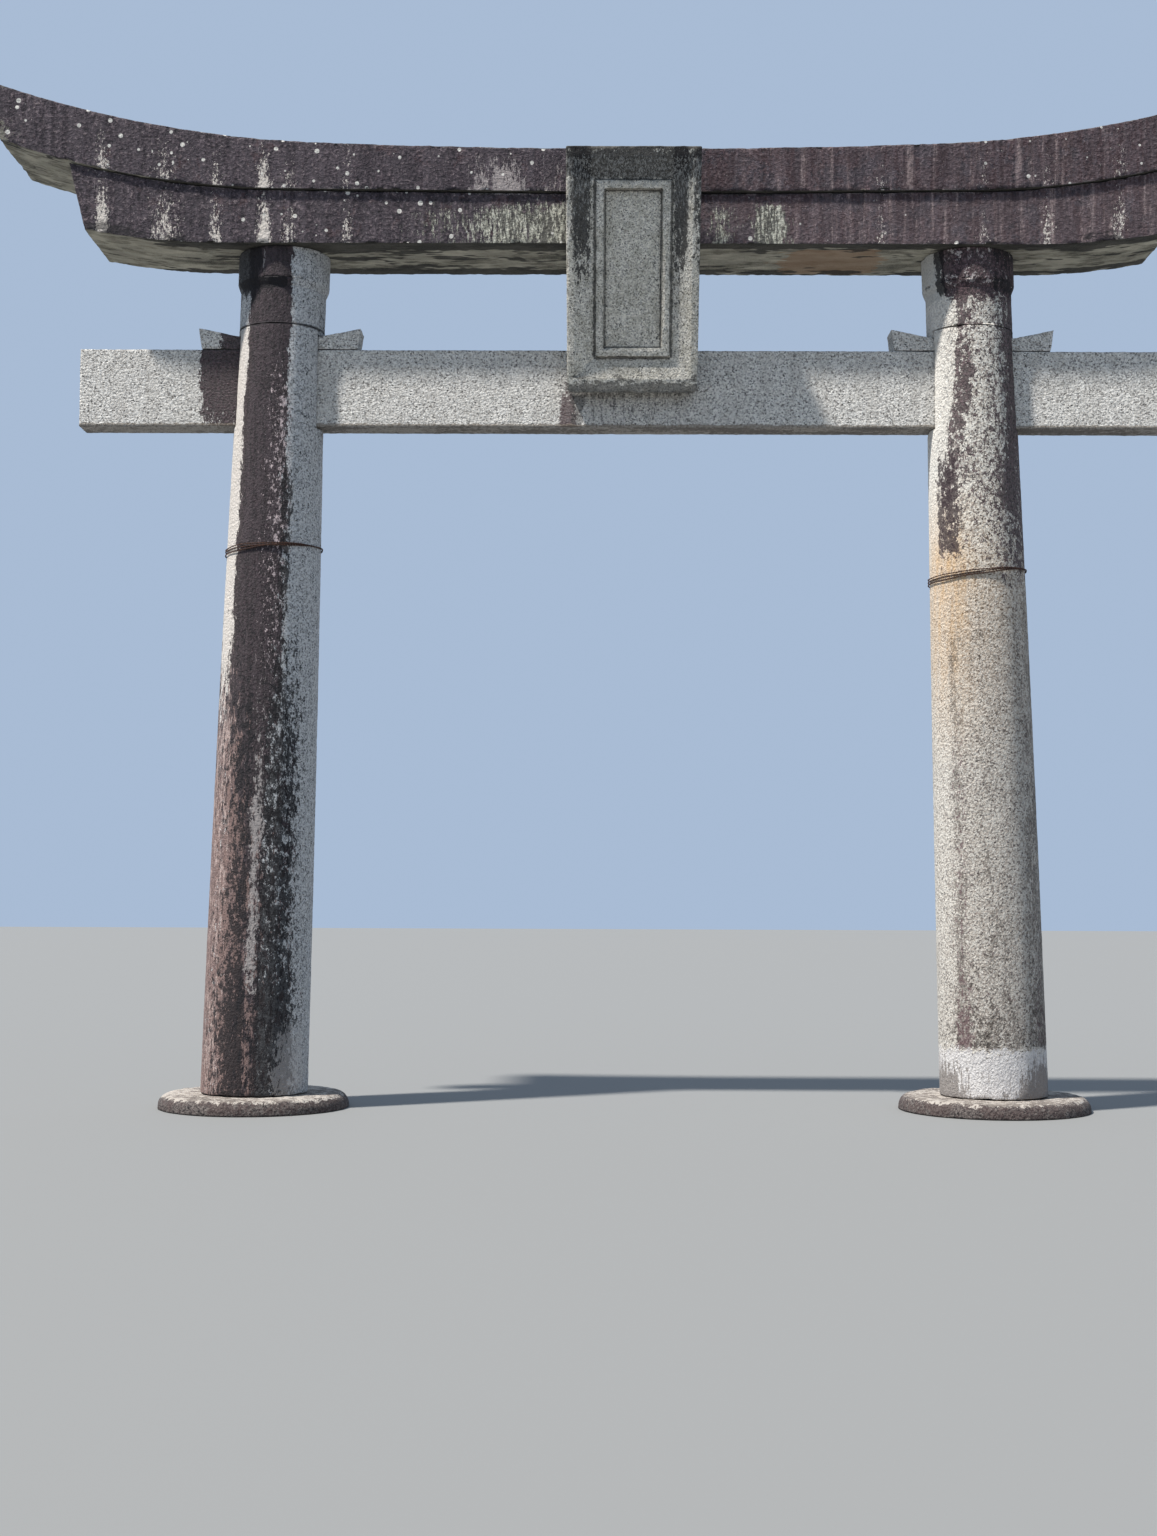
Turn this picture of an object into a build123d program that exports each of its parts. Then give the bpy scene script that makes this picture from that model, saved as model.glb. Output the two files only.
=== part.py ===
from build123d import *
import os
from math import atan2, cos, degrees, radians, sin, sqrt, tan

# A granite torii gate of the Myojin kind: two leaning round pillars on base stones,
# a tie beam (nuki) wedged through them, and two curved lintels (shimaki and kasagi)
# on ringed heads, with a name tablet leaning out in front of the middle.
# X runs along the lintels, the front faces -Y, and Z is height above the ground.
# The origin is on the ground, halfway between the pillars. All sizes are millimetres.

# Base stones
base_diameter = 1400
base_height = 110
base_lip_height = 95
base_lip_depth = 80
base_lip_facets = 3

# Pillars
pillar_spacing = 5454
pillar_lean = 1.39
pillar_foot_diameter = 788
pillar_joint_diameter = 640
neck_diameter = 638
ring_diameter = 684
ring_depth = 230
ring_bevel = 55
head_depth = 572

# Tie beam
tie_bottom = 5042
tie_depth = 588
tie_thickness = 240
tie_length = 8160
tie_edge = 8
slot_clearance = 9
slot_headroom = 148
stone_joint = 3

# Wedges
wedge_tip_offset = 110
wedge_length = 500
wedge_tip_height = 60
wedge_end_height = 165
wedge_thickness = 232
wedge_end_slant = 25
seat_clearance = 0.3

# Lower lintel
shimaki_depth = 374
shimaki_width = 772
shimaki_foot_length = 8000
shimaki_turn = 2980
shimaki_tip_radius = 5500
lintel_end_slant = 13.5
lintel_face_slant = 2.0

# Upper lintel
kasagi_depth = 330
kasagi_width = 842
kasagi_foot_length = 9248
kasagi_seat_radius = 150000
kasagi_seat_tip_radius = 6600
kasagi_seat_turn = 2600
kasagi_top_radius = 60000
kasagi_top_tip_radius = 8300
kasagi_top_turn = 2300
roof_slope = 12.0
lintel_joint = 4

# Name tablet and the strut behind it
tablet_offset = 45
tablet_foot_drop = 325
tablet_height = 1757
tablet_top_width = 988
tablet_bottom_width = 964
tablet_thickness = 150
tablet_top_corner = 12
tablet_foot_corner = 50
rim_top = 80
rim_side = 56
rim_foot = 105
slope_width = 154
slope_depth = 48
bead_width = 70
bead_height = 26
bead_edge = 9
panel_depth = 16
strut_width = 360

# Wire wound round the pillars
wire_diameter = 7
wire_turns = 3
wire_spread = 26
wire_sides = 18
wire_height_left = 4105
wire_height_right = 3930

# Sizes that follow from the ones above
tie_top = tie_bottom + tie_depth
joint_height = tie_top + slot_headroom
soffit_height = joint_height + head_depth
kasagi_seat = soffit_height + shimaki_depth
kasagi_edge = kasagi_seat + kasagi_depth
tablet_foot_height = tie_top - tablet_foot_drop
tie_half = tie_thickness / 2
sides = {"left": -1, "right": 1}

# How far a cutting shape runs on past the stone it trims
overrun = 2 * kasagi_width


def pillar_x(side, z):
    """Distance of a pillar's axis from the middle at height z."""
    return side * (pillar_spacing / 2 - z * tan(radians(pillar_lean)))


def leaning(solid, side):
    """Stand a solid made round Z on a pillar's leaning axis."""
    return Pos(pillar_x(side, 0), 0, 0) * Rot(0, -side * pillar_lean, 0) * solid


def above(solid, z):
    """The part of a solid over height z."""
    return split(solid, bisect_by=Plane.XY.offset(z), keep=Keep.TOP)


def below(solid, z):
    """The part of a solid under height z."""
    return split(solid, bisect_by=Plane.XY.offset(z), keep=Keep.BOTTOM)


def turned(points):
    """Solid of revolution round Z from (radius, height) points."""
    outline = Plane.XZ * make_face(Polyline(*points, close=True))
    return revolve(outline, axis=Axis.Z)


def block(x_from, x_to, y_half, z_from, z_to):
    """Plain block, as deep behind the middle plane as in front of it."""
    size = (x_to - x_from, 2 * y_half, z_to - z_from)
    return Pos((x_from + x_to) / 2, 0, (z_from + z_to) / 2) * Box(*size)


def base_stone(side):
    """Low round stone with a rounded lip that carries a pillar."""
    radius = base_diameter / 2
    outline = [(0, 0), (radius, 0)]
    for step in range(base_lip_facets + 1):
        turn = radians(90 * step / base_lip_facets)
        outline.append((radius - base_lip_depth * (1 - cos(turn)),
                        base_height - base_lip_height * (1 - sin(turn))))
    outline.append((0, base_height))
    return Pos(pillar_x(side, base_height), 0, 0) * turned(outline)


def shaft_radius(z):
    """Radius of the tapered shaft at height z."""
    foot, top = pillar_foot_diameter / 2, pillar_joint_diameter / 2
    share = (z - base_height) / (joint_height - base_height)
    return foot + (top - foot) * share


def shaft_body(side):
    """The tapered round shaft, run on past both of its ends."""
    low, high = 0, joint_height + base_height
    return leaning(turned([(0, low), (shaft_radius(low), low), (shaft_radius(high), high), (0, high)]), side)


def pillar(side):
    """Shaft from the base stone to the joint, with the slot that takes the tie beam."""
    shaft = below(above(shaft_body(side), base_height), joint_height)
    middle = pillar_x(side, tie_top)
    slot = block(middle - pillar_foot_diameter, middle + pillar_foot_diameter,
                 tie_half + slot_clearance, tie_bottom, joint_height + overrun)
    return shaft - slot


def wedge_top(offset):
    """Height of a wedge's sloping top at a distance from the pillar's axis."""
    rise = (wedge_end_height - wedge_tip_height) / wedge_length
    return tie_top + wedge_tip_height + rise * (offset - wedge_tip_offset)


def head_key(side):
    """Tongue under a pillar head that closes the slot down to the wedges."""
    top = joint_height + seat_clearance
    tip, mouth = wedge_tip_offset, pillar_joint_diameter / 2 + wedge_tip_offset
    tip_z, mouth_z = wedge_top(tip) + seat_clearance, wedge_top(mouth) + seat_clearance
    outline = Polyline((-mouth, top), (-mouth, mouth_z), (-tip, tip_z), (tip, tip_z), (mouth, mouth_z),
                       (mouth, top), close=True)
    tongue = extrude(Plane.XZ * make_face(outline), amount=wedge_thickness / 2, both=True)
    return (Pos(pillar_x(side, tie_top), 0, 0) * tongue) & below(shaft_body(side), top)


def pillar_head(side):
    """Neck and ring in one stone, keyed into the slot below it."""
    neck, ring = neck_diameter / 2, ring_diameter / 2
    ring_foot = soffit_height - ring_depth
    lean_rise = ring_diameter * sin(radians(pillar_lean))
    low, high = joint_height - lean_rise, soffit_height + lean_rise
    outline = [(0, low), (neck, low), (neck, ring_foot - ring_bevel), (ring, ring_foot),
               (ring, high), (0, high)]
    stone = leaning(turned(outline), side)
    stone = below(above(stone, joint_height), soffit_height)
    return stone + head_key(side)


def tie_beam_piece(x_from, x_to):
    """One length of the tie beam, its long edges bevelled."""
    piece = block(x_from, x_to, tie_half, tie_bottom, tie_top)
    return chamfer(piece.edges().filter_by(Axis.X), tie_edge)


def tie_beam_end(side):
    """Outer length of the tie beam, from the pillar's axis to the free end."""
    start = abs(pillar_x(side, tie_top)) + stone_joint / 2
    piece = tie_beam_piece(start, tie_length / 2)
    return piece if side > 0 else piece.mirror(Plane.YZ)


def tie_beam_middle():
    """Length of the tie beam between the pillars' axes."""
    end = abs(pillar_x(1, tie_top)) - stone_joint / 2
    return tie_beam_piece(-end, end)


def wedge(side, outward):
    """Stone wedge on the tie beam; outward is 1 on the far side of the pillar, -1 between them."""
    tip, end = wedge_tip_offset, wedge_tip_offset + wedge_length
    outline = Polyline((tip, tie_top), (end - wedge_end_slant, tie_top), (end, wedge_top(end)),
                       (tip, wedge_top(tip)), close=True)
    piece = extrude(Plane.XZ * make_face(outline), amount=wedge_thickness / 2, both=True)
    if side * outward < 0:
        piece = piece.mirror(Plane.YZ)
    return Pos(pillar_x(side, tie_top), 0, 0) * piece


class Camber:
    """A lintel edge: one long arc over the middle, then a tighter arc tangent to it."""

    def __init__(self, z_middle, middle_radius, tip_radius, turn):
        self.z_middle = z_middle
        self.middle_radius = middle_radius
        self.tip_radius = tip_radius
        self.turn = turn
        share = turn / middle_radius if middle_radius else 0
        self.turn_z = self.middle_z(turn)
        self.centre_x = turn - tip_radius * share
        self.centre_z = self.turn_z + tip_radius * sqrt(1 - share ** 2)

    def middle_z(self, x):
        if not self.middle_radius:
            return self.z_middle
        return self.z_middle + self.middle_radius - sqrt(self.middle_radius ** 2 - x ** 2)

    def z(self, x):
        if x <= self.turn:
            return self.middle_z(x)
        return self.centre_z - sqrt(self.tip_radius ** 2 - (x - self.centre_x) ** 2)

    def point(self, x):
        return (x, self.z(x))

    def edges(self, x_from, x_to):
        """The edge from x_from to x_to, as a middle piece and a tip arc."""
        if self.middle_radius:
            middle = ThreePointArc(self.point(x_from), self.point((x_from + self.turn) / 2),
                                   self.point(self.turn))
        else:
            middle = Line(self.point(x_from), self.point(self.turn))
        tip = ThreePointArc(self.point(self.turn), self.point((self.turn + x_to) / 2), self.point(x_to))
        return [middle, tip]


def face_under(camber, x_from, x_to, floor):
    """Upright face between a lintel's edge and a level well below it."""
    edges = camber.edges(x_from, x_to)
    edges += [Polyline(camber.point(x_to), (x_to, floor), (x_from, floor), camber.point(x_from))]
    return Plane.XZ * make_face(edges)


def face_over(camber, x_from, x_foot, ceiling):
    """Upright face above a lintel's lower edge, closed by the slanting end cut."""
    foot_z = camber.z(x_foot)
    x_top = x_foot + (ceiling - foot_z) * tan(radians(lintel_end_slant))
    edges = camber.edges(x_from, x_foot)
    edges += [Polyline(camber.point(x_foot), (x_top, ceiling), (x_from, ceiling), camber.point(x_from))]
    return Plane.XZ * make_face(edges)


def slanted_faces(width, z_foot, depth):
    """Bar along X whose front and back faces lean out slightly towards the top."""
    half = width / 2
    lean_out = depth * tan(radians(lintel_face_slant))
    outline = Polyline((-half, z_foot), (half, z_foot), (half + lean_out, z_foot + depth),
                       (-half - lean_out, z_foot + depth), close=True)
    return extrude(Plane.YZ * make_face(outline), amount=kasagi_foot_length)


def shimaki(side):
    """Half of the lower lintel, with a flat seat over the pillar and an upswept end."""
    soffit = Camber(soffit_height, 0, shimaki_tip_radius, shimaki_turn)
    seat = Camber(kasagi_seat, kasagi_seat_radius, kasagi_seat_tip_radius, kasagi_seat_turn)
    start, ceiling = lintel_joint / 2, soffit_height + overrun
    body = extrude(face_over(soffit, start, shimaki_foot_length / 2, ceiling), amount=shimaki_width, both=True)
    under = extrude(face_under(seat, start, kasagi_foot_length / 2, tie_top), amount=shimaki_width, both=True)
    half = body & under & slanted_faces(shimaki_width, soffit_height, overrun)
    return half if side > 0 else half.mirror(Plane.YZ)


def roof(camber, x_to, toward):
    """Everything under one slope of the lintel's roof; toward is 1 from the front, -1 from the back."""
    half = kasagi_width / 2
    rise = half * tan(radians(roof_slope))
    face = Pos(0, -toward * 2 * half, -rise) * face_under(camber, lintel_joint / 2, x_to, tie_bottom)
    way = Vector(0, toward * half, rise)
    return extrude(face, amount=overrun, dir=way.normalized())


def kasagi(side):
    """Half of the upper lintel: curved seat, slanting end, and a low ridged top."""
    seat = Camber(kasagi_seat, kasagi_seat_radius, kasagi_seat_tip_radius, kasagi_seat_turn)
    edge = Camber(kasagi_edge, kasagi_top_radius, kasagi_top_tip_radius, kasagi_top_turn)
    start, ceiling = lintel_joint / 2, kasagi_seat + overrun
    reach = kasagi_foot_length / 2 + kasagi_depth
    body = extrude(face_over(seat, start, kasagi_foot_length / 2, ceiling), amount=kasagi_width, both=True)
    body = body & slanted_faces(kasagi_width, kasagi_seat, overrun)
    half = body & roof(edge, reach, 1) & roof(edge, reach, -1)
    return half if side > 0 else half.mirror(Plane.YZ)


def strut():
    """Short post behind the tablet, between the tie beam and the lower lintel."""
    half = strut_width / 2
    return block(tablet_offset - half, tablet_offset + half, tie_half, tie_top, soffit_height)


def tablet():
    """Leaning name tablet: rim, sloping border, raised bead and a bare sunk panel."""
    foot_y = -(tie_half + seat_clearance)
    lean_y = -(shimaki_width / 2 + seat_clearance)
    tilt = degrees(atan2(foot_y - lean_y, soffit_height - tablet_foot_height))
    bottom, top = tablet_bottom_width / 2, tablet_top_width / 2
    outline = Polyline((-bottom, 0), (bottom, 0), (top, tablet_height), (-top, tablet_height), close=True)
    slab = extrude(Plane.XZ * make_face(outline), amount=tablet_thickness)
    slab = fillet(slab.edges().filter_by(Axis.Y).group_by(Axis.Z)[0], tablet_foot_corner)
    slab = fillet(slab.edges().filter_by(Axis.Y).group_by(Axis.Z)[-1], tablet_top_corner)
    mid_height = (tablet_height + rim_foot - rim_top) / 2
    front = Plane((0, -tablet_thickness, mid_height), x_dir=(1, 0, 0), z_dir=(0, -1, 0))
    inner_width = (tablet_top_width + tablet_bottom_width) / 2 - 2 * rim_side
    inner_height = tablet_height - rim_top - rim_foot

    def border(inset, depth):
        return front.offset(-depth) * Rectangle(inner_width - 2 * inset, inner_height - 2 * inset)

    slab -= loft([border(0, 0), border(slope_width, slope_depth)])
    bead_end = slope_width + bead_width
    bead_top = slope_depth - bead_height
    bead = extrude(border(slope_width, slope_depth), amount=bead_height)
    bead -= extrude(border(bead_end, slope_depth), amount=bead_height)
    bead = chamfer(bead.faces().sort_by(Axis.Y)[0].edges(), bead_edge)
    slab += bead
    slab -= extrude(border(bead_end, bead_top), amount=-(slope_depth + panel_depth - bead_top))
    return Pos(tablet_offset, foot_y, tablet_foot_height) * Rot(tilt, 0, 0) * slab


def wire_ring(side, height):
    """Turns of iron wire lying round a pillar, each a closed ring of short straight runs."""
    turns = []
    for turn in range(wire_turns):
        level = height + turn * wire_spread
        inner = shaft_radius(level) + seat_clearance
        ring = RegularPolygon(inner + wire_diameter, wire_sides, major_radius=False)
        ring -= RegularPolygon(inner, wire_sides, major_radius=False)
        turns.append(leaning(Pos(0, 0, level) * extrude(ring, amount=wire_diameter), side))
    return Compound(children=turns)


nodes = {
    "strut": strut(),
    "tablet": tablet(),
    "tie_beam_middle": tie_beam_middle(),
}
wire_heights = {"left": wire_height_left, "right": wire_height_right}
for name, side in sides.items():
    nodes["base_stone_" + name] = base_stone(side)
    nodes["pillar_" + name] = pillar(side)
    nodes["pillar_head_" + name] = pillar_head(side)
    nodes["tie_beam_" + name + "_end"] = tie_beam_end(side)
    nodes["wedge_" + name + "_outer"] = wedge(side, 1)
    nodes["wedge_" + name + "_inner"] = wedge(side, -1)
    nodes["shimaki_" + name] = shimaki(side)
    nodes["kasagi_" + name] = kasagi(side)
    nodes["wire_ring_" + name] = wire_ring(side, wire_heights[name])

os.makedirs("parts", exist_ok=True)
for name, shape in nodes.items():
    export_step(shape, "parts/" + name + ".step")
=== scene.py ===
from math import cos, pi, radians, sin, sqrt, tan

import bmesh
import bpy
from mathutils import Matrix, Vector, noise


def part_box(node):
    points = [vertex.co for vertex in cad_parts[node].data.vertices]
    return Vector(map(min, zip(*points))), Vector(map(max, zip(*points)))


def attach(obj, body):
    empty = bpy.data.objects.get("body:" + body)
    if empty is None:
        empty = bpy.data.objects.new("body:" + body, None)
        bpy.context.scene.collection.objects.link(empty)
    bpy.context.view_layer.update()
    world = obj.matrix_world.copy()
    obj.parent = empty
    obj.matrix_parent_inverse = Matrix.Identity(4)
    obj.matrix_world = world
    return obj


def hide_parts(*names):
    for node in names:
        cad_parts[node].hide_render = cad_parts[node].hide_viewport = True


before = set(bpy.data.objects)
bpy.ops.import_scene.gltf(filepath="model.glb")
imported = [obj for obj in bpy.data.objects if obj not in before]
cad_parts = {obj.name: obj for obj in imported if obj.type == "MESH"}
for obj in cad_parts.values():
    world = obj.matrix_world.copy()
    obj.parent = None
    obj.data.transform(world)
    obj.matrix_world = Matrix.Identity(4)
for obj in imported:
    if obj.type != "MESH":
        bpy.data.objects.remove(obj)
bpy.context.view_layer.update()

# A granite torii gate: leaning round pillars, a wedged tie beam, two curved lintels and a bare tablet.
# Metres, in the frame of the construction: X along the lintels, the front faces -Y, Z up from the ground.

# Lengths that repeat those of the stonework
PILLAR_LEAN = radians(1.39)
PILLAR_GROUND_X = 2.727
SHAFT_FOOT_Z, SHAFT_FOOT_RADIUS = 0.110, 0.394
SHAFT_JOINT_Z, SHAFT_JOINT_RADIUS = 5.778, 0.320
SHAFT_SWELL = 0.010
LINTEL_JOINT_RADIUS, LINTEL_TIP_RADIUS, LINTEL_TURN_X = 150.0, 6.6, 2.6
LINTEL_JOINT_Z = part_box("kasagi_left")[0].z
TIE_TOP, TIE_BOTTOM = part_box("tie_beam_middle")[1].z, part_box("tie_beam_middle")[0].z
SIDES = {"left": -1, "right": 1}

X, Y, Z = 0, 1, 2


def pillar_axis(side, z):
    """Middle of a leaning pillar at height z."""
    return side * (PILLAR_GROUND_X - z * tan(PILLAR_LEAN))


def shaft_radius(z):
    """Radius of the tapered shaft, a little fuller at half height."""
    share = (z - SHAFT_FOOT_Z) / (SHAFT_JOINT_Z - SHAFT_FOOT_Z)
    straight = SHAFT_FOOT_RADIUS + (SHAFT_JOINT_RADIUS - SHAFT_FOOT_RADIUS) * share
    return straight + 4 * SHAFT_SWELL * share * (1 - share)


def lintel_joint(x):
    """Height of the curved joint between the two lintels."""
    x = abs(x)
    middle = min(x, LINTEL_TURN_X)
    slope = LINTEL_TURN_X / LINTEL_JOINT_RADIUS
    height = LINTEL_JOINT_Z + middle ** 2 / (2 * LINTEL_JOINT_RADIUS)
    if x > LINTEL_TURN_X:
        centre = LINTEL_TURN_X - LINTEL_TIP_RADIUS * slope
        height += LINTEL_TIP_RADIUS * sqrt(1 - slope ** 2) - sqrt(LINTEL_TIP_RADIUS ** 2 - (x - centre) ** 2)
    return height


def put(name, data):
    """New object in the scene."""
    thing = bpy.data.objects.new(name, data)
    bpy.context.scene.collection.objects.link(thing)
    return thing


# Stones: copies of the plain ones with rounded edges and a hammered, weathered skin
def plain_stone(node):
    """Copy of a stone of the frame, its loose triangles merged back into whole faces."""
    stone = bmesh.new()
    stone.from_mesh(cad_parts[node].data)
    bmesh.ops.remove_doubles(stone, verts=stone.verts, dist=0.0002)
    bmesh.ops.dissolve_limit(stone, angle_limit=radians(0.5), verts=stone.verts, edges=stone.edges)
    return stone


def round_edges(stone, width, fold=22):
    """Round every arris that folds by more than fold degrees, and mark it, because it wears first."""
    mark = stone.faces.layers.int.new("arris")
    arrises = [edge for edge in stone.edges if edge.calc_face_angle() > radians(fold)]
    rounded = bmesh.ops.bevel(stone, geom=arrises, offset=width, offset_type="OFFSET", segments=2,
        profile=0.5, affect="EDGES", clamp_overlap=True, material=-1)
    for face in rounded["faces"]:
        face[mark] = 1


def halve(stone, faces, axis, start, step, count):
    """Cut faces by evenly spaced planes, always at the middle of what is left."""
    if count < 2 or not faces:
        return
    half = count // 2
    place, across = Vector(), Vector()
    place[axis] = start + half * step
    across[axis] = 1
    edges = {edge for face in faces for edge in face.edges}
    corners = {vert for face in faces for vert in face.verts}
    cut = bmesh.ops.bisect_plane(stone, geom=[*faces, *edges, *corners], dist=0.001, plane_co=place,
        plane_no=across)
    parts = [part for part in cut["geom"] if isinstance(part, bmesh.types.BMFace)]
    lower = [face for face in parts if face.calc_center_median()[axis] < place[axis]]
    upper = [face for face in parts if face.calc_center_median()[axis] >= place[axis]]
    halve(stone, lower, axis, start, step, half)
    halve(stone, upper, axis, start + half * step, step, count - half)


def slice_stone(stone, cell, axes=(Y, Z, X)):
    """Slice a stone along each axis into cells fine enough to carry its relief."""
    for axis in axes:
        places = [vert.co[axis] for vert in stone.verts]
        low, high = min(places), max(places)
        count = max(1, round((high - low) / cell))
        halve(stone, stone.faces[:], axis, low, (high - low) / count, count)


# The skin's dents as fractal noise: how fast its octaves fade, the step between them and how many there are
FADE, STEP, OCTAVES = 0.6, 2.0, 2
# Broad unevenness under the dents, in shares of their depth and size, and the chips along an arris
SWELL_SHARE, SWELL_SIZE = 0.6, 6
CHIP_SPACING, CHIP_RARITY, CHIP_GAIN = 0.11, 0.45, 3


def relief(place, size, stretch=1.0):
    """Seeded hills and hollows from 0 to 1, of a size in metres, longer along X by stretch."""
    point = Vector((place.x / stretch, place.y, place.z)) / size
    return 0.5 + 0.5 * noise.fractal(point, FADE, STEP, OCTAVES)


def weather(stone, depth, size, stretch=1.0, chip=0.0):
    """Sink the skin in dents about depth deep and the arrises in chips about chip deep, never underground."""
    stone.normal_update()
    mark = stone.faces.layers.int.get("arris")
    wear = stone.verts.layers.float.new("wear")
    sinks = {}
    for vert in stone.verts:
        vert[wear] = max(face[mark] for face in vert.link_faces) if mark else 0
        sink = depth * relief(vert.co, size, stretch)
        sink += SWELL_SHARE * depth * relief(vert.co, SWELL_SIZE * size)
        sink += vert[wear] * chip * max(0, relief(vert.co, CHIP_SPACING) - CHIP_RARITY) * CHIP_GAIN
        sinks[vert] = vert.normal * sink
    for vert, sink in sinks.items():
        vert.co -= sink
        vert.co.z = max(vert.co.z, 0)


def show(stone, name, material, slot, *nodes):
    """Turn a finished stone into a piece that stands for nodes of the frame."""
    bmesh.ops.dissolve_degenerate(stone, edges=stone.edges, dist=0.0003)
    mesh = bpy.data.meshes.new(name)
    stone.to_mesh(mesh)
    stone.free()
    for leftover in ("custom_normal", "sharp_edge", "sharp_face", "arris"):
        if leftover in mesh.attributes:
            mesh.attributes.remove(mesh.attributes[leftover])
    mesh.shade_smooth()
    mesh.materials.append(material)
    piece = put(name, mesh)
    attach(piece, "root")
    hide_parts(*nodes)


# Finishes: one class that adds nodes, the patterns stone is made of, then one function for each stone
def linear(code):
    """An sRGB hex colour as the linear values the shader reads."""
    parts = [int(code[place:place + 2], 16) / 255 for place in (1, 3, 5)]
    return (*[part / 12.92 if part < 0.04045 else ((part + 0.055) / 1.055) ** 2.4 for part in parts], 1)


class Finish:
    """A material being made: its nodes, its colour so far, each point's place and the way it faces."""

    def __init__(self, name):
        self.material = bpy.data.materials.new(name)
        self.material.use_nodes = True
        self.tree = self.material.node_tree
        self.tree.nodes.clear()
        self.layers = 0
        self.colour = None
        self.place = self.add("TexCoord", {}, "Object")
        self.x, self.y, self.z = self.add("SeparateXYZ", {"Vector": self.place}).node.outputs
        self.facing = self.add("SeparateXYZ", {"Vector": self.add("TexCoord", {}, "Normal")}).node.outputs
        # Shares by which the stone faces the front, down and up
        self.front = self.between(self.facing["Y"], -0.3, -0.7)
        self.under = self.between(self.facing["Z"], -0.5, -0.8)
        self.top = self.between(self.facing["Z"], 0.5, 0.8)

    def add(self, kind, settings, output=0):
        """Add a node and return an output; a setting is a property, ramp stops, a value or a socket."""
        node = self.tree.nodes.new("ShaderNode" + kind)
        for name, value in settings.items():
            if name in ("stops", "steps"):
                ramp = node.color_ramp
                ramp.interpolation = "CONSTANT" if name == "steps" else "LINEAR"
                for place, _ in value[1:-1]:
                    ramp.elements.new(place)
                for element, (place, colour) in zip(ramp.elements, value):
                    element.position = place
                    element.color = linear(colour) if isinstance(colour, str) else (colour, colour, colour, 1)
            elif isinstance(name, str) and name in node.bl_rna.properties:
                setattr(node, name, value)
            elif isinstance(value, bpy.types.NodeSocket):
                self.tree.links.new(value, node.inputs[name])
            else:
                node.inputs[name].default_value = value
        return node.outputs[output]

    def between(self, value, none, full, low=0, high=1):
        """How far a value has gone from none to full, as a number from low to high."""
        return self.add("MapRange", {"Value": value, "From Min": none, "From Max": full,
                                     "To Min": low, "To Max": high})

    def product(self, first, second):
        """Two strengths multiplied."""
        return self.add("Math", {"operation": "MULTIPLY", 0: first, 1: second})

    def by_x(self, stops):
        """Strength read off a profile along X."""
        return read_off(self, self.x, stops)

    def by_y(self, stops):
        """The same along Y."""
        return read_off(self, self.y, stops)

    def by_z(self, stops):
        """The same along Z."""
        return read_off(self, self.z, stops)

    def stain(self, hue, mask, strength=1.0):
        """Lay a hue over the stone's colour."""
        self.colour = stained(self, self.colour, hue, mask, strength)

    def patch(self, hue, covers, **clumps):
        """Lay a hue over the stone's colour in frayed clumps."""
        self.colour = patched(self, self.colour, hue, covers, **clumps)

    def done(self, roughness, height, depth):
        """Join colour, roughness and a height from 0 to 1, depth metres deep, into the surface."""
        bump = self.add("Bump", {"Strength": 1.0, "Distance": depth, "Height": height})
        surface = self.add("BsdfPrincipled", {"Base Color": self.colour, "Roughness": roughness,
                                              "Normal": bump})
        output = self.tree.nodes.new("ShaderNodeOutputMaterial")
        self.tree.links.new(surface, output.inputs["Surface"])
        return self.material


# How far each layer of noise is moved along X and Y from the one before, in lumps
LAYER_SHIFT = (3.7, 1.3)


def clouds(finish, size, along=1, back=1, down=1, detail=3, roughness=0.6):
    """Soft noise of lumps size metres across, drawn out along X, Y and Z; no two layers are alike."""
    finish.layers += 1
    scale = tuple(1 / (size * part) for part in (along, back, down))
    place = finish.add("Mapping", {"vector_type": "POINT", "Vector": finish.place, "Scale": scale,
                                   "Location": (*[part * finish.layers for part in LAYER_SHIFT], 0)})
    return finish.add("TexNoise", {"Vector": place, "Scale": 1.0, "Detail": detail, "Roughness": roughness})


def crystals(finish, size, minerals):
    """Granite's crystals, each one flat colour; minerals are (share where it starts, colour)."""
    cells = finish.add("TexVoronoi", {"Vector": finish.place, "Scale": 1 / size, "Randomness": 1.0}, "Color")
    pick = finish.add("SeparateColor", {"Color": cells})
    return finish.add("ValToRGB", {"steps": minerals, "Fac": pick})


def read_off(finish, value, stops):
    """Strength read off a listed profile of (place, strength) along a value."""
    low, high = stops[0][0], stops[-1][0]
    share = finish.between(value, low, high)
    scaled = [((place - low) / (high - low), strength) for place, strength in stops]
    return finish.add("ValToRGB", {"stops": scaled, "Fac": share})


def peaks(streaks, low, high):
    """Profile that is 0 but for streaks of (middle, half width, strength)."""
    stops = [(low, 0)]
    for middle, half, strength in streaks:
        stops += [(middle - half, 0), (middle, strength), (middle + half, 0)]
    return stops + [(high, 0)]


# Clumps of a stain: how far they eat into its cover, and how soft and how rough their own edges are
FRAY, CLUMP_SOFTNESS, CLUMP_ROUGHNESS = 1.6, 0.05, 0.85


def ragged(finish, covers, size, bite, detail=4, **stretch):
    """Multiply covers into the covered share, in clumps of a size in metres with frayed, speckled edges."""
    bite *= FRAY
    cover = covers[0]
    for more in covers[1:]:
        cover = finish.product(cover, more)
    bites = clouds(finish, size, detail=detail, roughness=CLUMP_ROUGHNESS, **stretch)
    eaten = finish.add("Math", {"operation": "MULTIPLY_ADD", 0: bites, 1: bite, 2: cover})
    edge = 0.5 + bite / 2
    return finish.add("MapRange", {"interpolation_type": "SMOOTHSTEP", "Value": eaten,
                                   "From Min": edge - CLUMP_SOFTNESS, "From Max": edge + CLUMP_SOFTNESS})


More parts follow.
